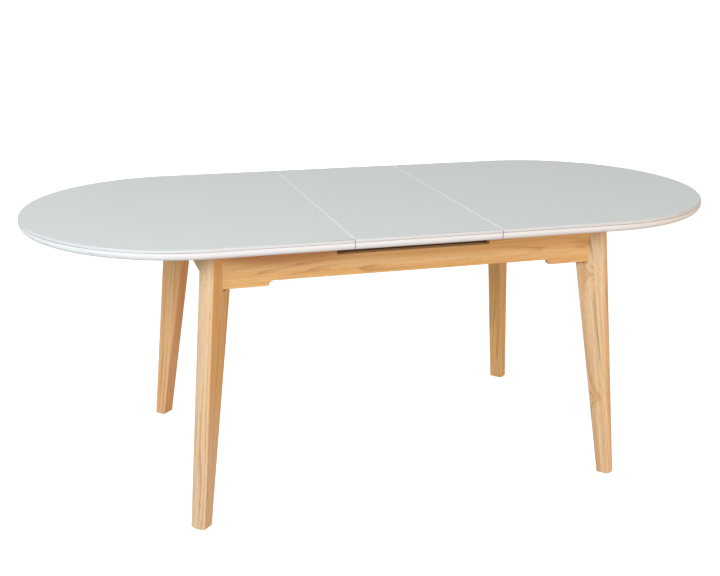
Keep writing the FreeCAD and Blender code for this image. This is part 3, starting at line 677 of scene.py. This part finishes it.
def screw_blocks(head):
    for corner, (out_x, out_y) in CORNERS.items():
        low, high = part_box(f"corner_block_{corner}")
        middle = (low + high) / 2
        width = Vector((out_x * (high.x - low.x), -out_y * (high.y - low.y), 0))
        inward = Vector((-out_x, -out_y, 0)).to_track_quat("Z", "Y").to_euler()
        for number, (share, step) in enumerate(BLOCK_SCREWS, start=1):
            place = middle + width * share
            place.z += step
            drive(head, f"block_screw_{corner}_{number}", "base", place, inward)


def drive_screws(steel):
    head = screw_head()
    paint(head, steel)
    screw_lugs(head)
    screw_plates(head)
    screw_rails(head)
    screw_sliders(head)
    screw_blocks(head)
    bpy.data.objects.remove(head)


# How much of the white room rays see that are reflected on their way
REFLECTED_SHARE = 0.35
FLOOR_SIZE = 160
FLOOR_PLACE = (0, 20, 0)
FLOOR_GREY = (0.45, 0.45, 0.45, 1)
FLOOR_GLOW = 0.86
WHITE = (1, 1, 1, 1)
ROOM_COLOUR = (0.96, 1.0, 0.934, 1)
ROOM_STRENGTH = 0.496

# Each lamp's place, width, height, power in watts and colour; all face a point above the origin
LAMPS = {
    "window": ((-2.6, -3.4, 2.6), 5.0, 1.9, 171, (0.84, 0.9, 1.0)),
    "fill": ((-4.6, 3.4, 2.0), 4.0, 2.2, 34, (1.0, 1.0, 1.0)),
    "back_wall": ((0.6, 4.6, 0.65), 5.0, 0.8, 70, (1.0, 0.98, 0.95)),
    "warm_wall": ((2.6, -3.6, 0.75), 3.0, 0.5, 51, (1.0, 0.508, 0.232)),
}
LAMP_AIM = Vector((0, 0, 0.6))


def seen_ray(finish):
    """1 for rays from the camera, and a part of that for rays reflected on their way."""
    camera = finish.node("ShaderNodeLightPath", output="Is Camera Ray")
    glossy = Wire(finish, camera.socket.node.outputs["Is Glossy Ray"])
    return camera.larger(glossy * REFLECTED_SHARE)


def lay_floor():
    """A plain white floor that keeps a faint shadow and doesn't hide the table from below."""
    bpy.ops.object.select_all(action="DESELECT")
    bpy.ops.mesh.primitive_plane_add(size=FLOOR_SIZE, location=FLOOR_PLACE)
    floor = bpy.context.object
    floor.name = "floor"
    finish = new_finish("floor_white")
    finish.tree.nodes.clear()
    paper = finish.node("ShaderNodeBsdfDiffuse", None, {"Color": FLOOR_GREY})
    seen = seen_ray(finish) * FLOOR_GLOW
    glow = finish.node("ShaderNodeEmission", None, {"Color": WHITE, "Strength": seen})
    lit = finish.node("ShaderNodeAddShader", None, {0: paper, 1: glow})
    below = finish.node("ShaderNodeNewGeometry", output="Backfacing")
    clear = finish.node("ShaderNodeBsdfTransparent")
    open_below = finish.node("ShaderNodeMixShader", None, {0: below, 1: lit, 2: clear})
    finish.node("ShaderNodeOutputMaterial", None, {"Surface": open_below})
    paint(floor, finish.owner)


def light_room():
    """A soft white room: a window at the front left, a fill at the left, walls behind and at the right."""
    world = bpy.data.worlds.new("soft_room")
    bpy.context.scene.world = world
    finish = Finish(world)
    finish.tree.nodes.clear()
    soft = finish.node("ShaderNodeBackground", None, {"Color": ROOM_COLOUR, "Strength": ROOM_STRENGTH})
    white = finish.node("ShaderNodeBackground", None, {"Color": WHITE, "Strength": 1.0})
    sky = finish.node("ShaderNodeMixShader", None, {0: seen_ray(finish), 1: soft, 2: white})
    finish.node("ShaderNodeOutputWorld", None, {"Surface": sky})
    for name, (place, width, height, power, colour) in LAMPS.items():
        light = bpy.data.lights.new(name, "AREA")
        light.shape = "RECTANGLE"
        light.size = width
        light.size_y = height
        light.energy = power
        light.color = colour
        lamp = bpy.data.objects.new(name, light)
        bpy.context.collection.objects.link(lamp)
        lamp.location = place
        lamp.rotation_euler = (LAMP_AIM - lamp.location).to_track_quat("-Z", "Y").to_euler()
        lamp.visible_glossy = False
        lamp.visible_camera = False


# The camera: its place, how far it turns to the right, down and about its own line of sight, and its
# lens and film in millimetres
CAMERA_PLACE = (-0.959705, -2.939274, 1.464941)
CAMERA_YAW = math.radians(17.25771)
CAMERA_PITCH = math.radians(17.43378)
CAMERA_ROLL = math.radians(0.73993)
LENS = 54.24
FILM_WIDTH = 36
FARTHEST = 300


def set_camera():
    """The camera where the photograph was taken from."""
    level = math.cos(CAMERA_PITCH)
    ahead = Vector((math.sin(CAMERA_YAW) * level, math.cos(CAMERA_YAW) * level, -math.sin(CAMERA_PITCH)))
    right = Vector((math.cos(CAMERA_YAW), -math.sin(CAMERA_YAW), 0))
    up = right.cross(ahead)
    across = right * math.cos(CAMERA_ROLL) + up * math.sin(CAMERA_ROLL)
    upward = up * math.cos(CAMERA_ROLL) - right * math.sin(CAMERA_ROLL)
    lens = bpy.data.cameras.new("camera")
    lens.lens = LENS
    lens.sensor_width = FILM_WIDTH
    lens.sensor_fit = "HORIZONTAL"
    lens.clip_end = FARTHEST
    camera = bpy.data.objects.new("camera", lens)
    bpy.context.collection.objects.link(camera)
    axes = Matrix((across, upward, -ahead)).transposed().to_4x4()
    camera.matrix_world = Matrix.Translation(CAMERA_PLACE) @ axes
    bpy.context.scene.camera = camera


bpy.context.scene.view_settings.view_transform = "Standard"
set_camera()
dress_top()
dress_frame()
dress_inside()
zinc_steel = zinc()
dress_fittings(zinc_steel)
drive_screws(zinc_steel)
lay_floor()
light_room()
